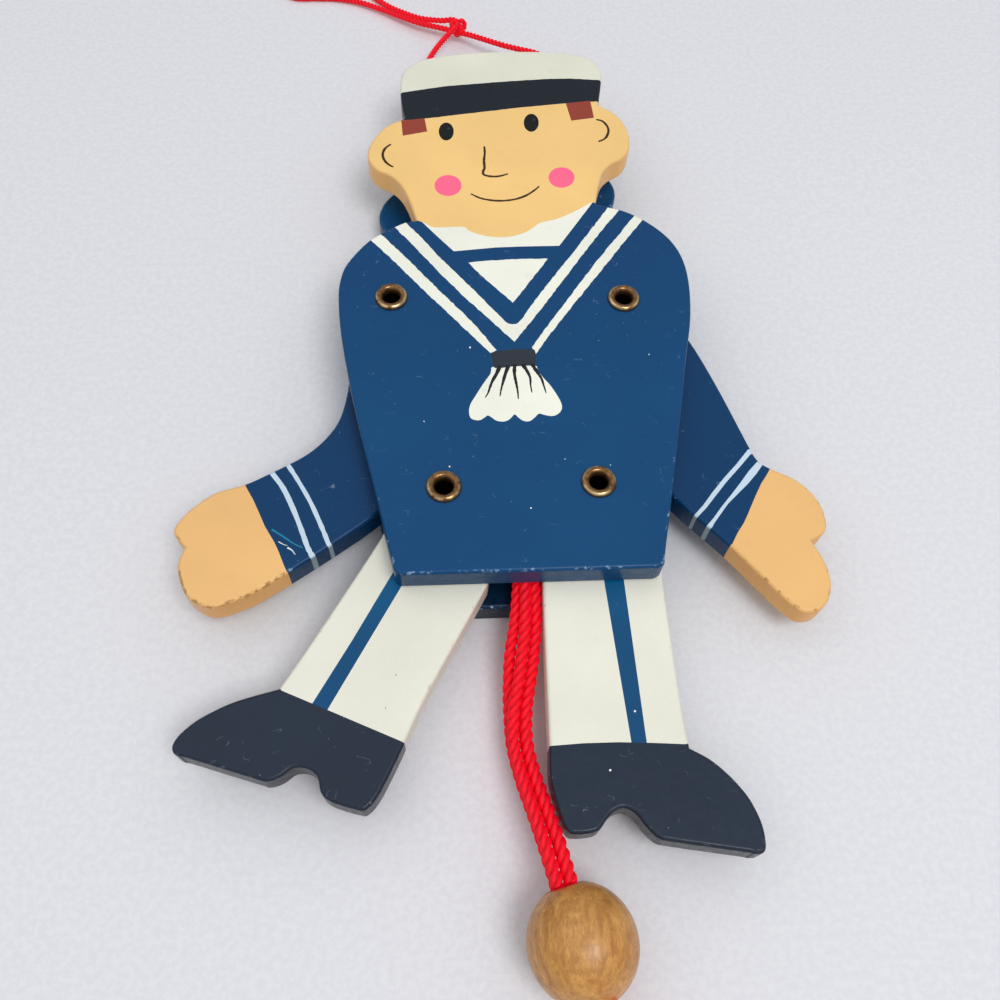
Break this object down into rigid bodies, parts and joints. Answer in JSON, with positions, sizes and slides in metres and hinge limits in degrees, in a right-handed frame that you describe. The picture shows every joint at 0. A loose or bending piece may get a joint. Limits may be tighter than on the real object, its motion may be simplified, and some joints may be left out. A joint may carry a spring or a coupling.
{
  "type": "pull string jumping jack",
  "caption": "Flat painted wooden sailor figure whose arms and legs swing up when a beaded cord below the hem is pulled, with a cord loop to hang it by.",
  "frame": {"origin": "on the back face of the back board, halfway between the two shoulder eyelets", "axes": "+X to the viewer's right, +Y from the hem towards the hat, +Z out of the painted front"},
  "size_m": [0.1239, 0.2725, 0.0192],
  "materials": {
    "board_paint": "glossy navy paint with a painted face and collar",
    "arm_paint": "glossy navy paint, the hand skin coloured, two pale cuff lines",
    "leg_paint": "glossy cream paint with a navy stripe and a black shoe",
    "dowel_wood": "bare",
    "bead_wood": "clear lacquer",
    "eyelet_brass": "aged",
    "pull_cord": "twisted cord",
    "hanging_cord": "twisted cord"
  },
  "bodies": {
    "torso": {"front_board": "board_paint", "back_board": "board_paint", "neck_dowel": "dowel_wood", "left_shoulder_eyelet": "eyelet_brass", "right_shoulder_eyelet": "eyelet_brass", "left_hip_eyelet": "eyelet_brass", "right_hip_eyelet": "eyelet_brass", "hanging_bight": "hanging_cord", "hanging_cord": "hanging_cord", "hanging_knot": "hanging_cord"},
    "left_arm": {"left_arm": "arm_paint", "left_arm_knot": "pull_cord"},
    "right_arm": {"right_arm": "arm_paint", "right_arm_knot": "pull_cord"},
    "left_leg": {"left_leg": "leg_paint", "left_leg_knot": "pull_cord"},
    "right_leg": {"right_leg": "leg_paint", "right_leg_knot": "pull_cord"},
    "pull": {"pull_bead": "bead_wood", "bead_knot": "pull_cord", "pull_strand_1": "pull_cord", "pull_strand_2": "pull_cord", "pull_strand_3": "pull_cord", "pull_strand_4": "pull_cord", "left_arm_string": "pull_cord", "right_arm_string": "pull_cord", "left_leg_string": "pull_cord", "right_leg_string": "pull_cord"}
  },
  "joints": [
    {"name": "pull_slide", "type": "slide", "parent": "torso", "child": "pull", "axis": [0, -1, 0], "range_m": [0, 0.01], "deforming": ["left_arm_string", "right_arm_string", "left_leg_string", "right_leg_string"]},
    {"name": "left_shoulder", "type": "hinge", "parent": "torso", "child": "left_arm", "pos_m": [-0.024, 0, 0.00915], "axis": [0, 0, 1], "range_deg": [-84, 0]},
    {"name": "right_shoulder", "type": "hinge", "parent": "torso", "child": "right_arm", "pos_m": [0.024, -0.0016, 0.00915], "axis": [0, 0, 1], "range_deg": [0, 84]},
    {"name": "left_hip", "type": "hinge", "parent": "torso", "child": "left_leg", "pos_m": [-0.0145, -0.0445, 0.00915], "axis": [0, 0, 1], "range_deg": [-46.5, 0]},
    {"name": "right_hip", "type": "hinge", "parent": "torso", "child": "right_leg", "pos_m": [0.0145, -0.0445, 0.00915], "axis": [0, 0, 1], "range_deg": [0, 78]}
  ],
  "couplings": [
    {"joint": "left_shoulder", "follows": "pull_slide", "rad_per_m": -145.9},
    {"joint": "right_shoulder", "follows": "pull_slide", "rad_per_m": 145.9},
    {"joint": "left_hip", "follows": "pull_slide", "rad_per_m": -80.1},
    {"joint": "right_hip", "follows": "pull_slide", "rad_per_m": 135.1}
  ]
}
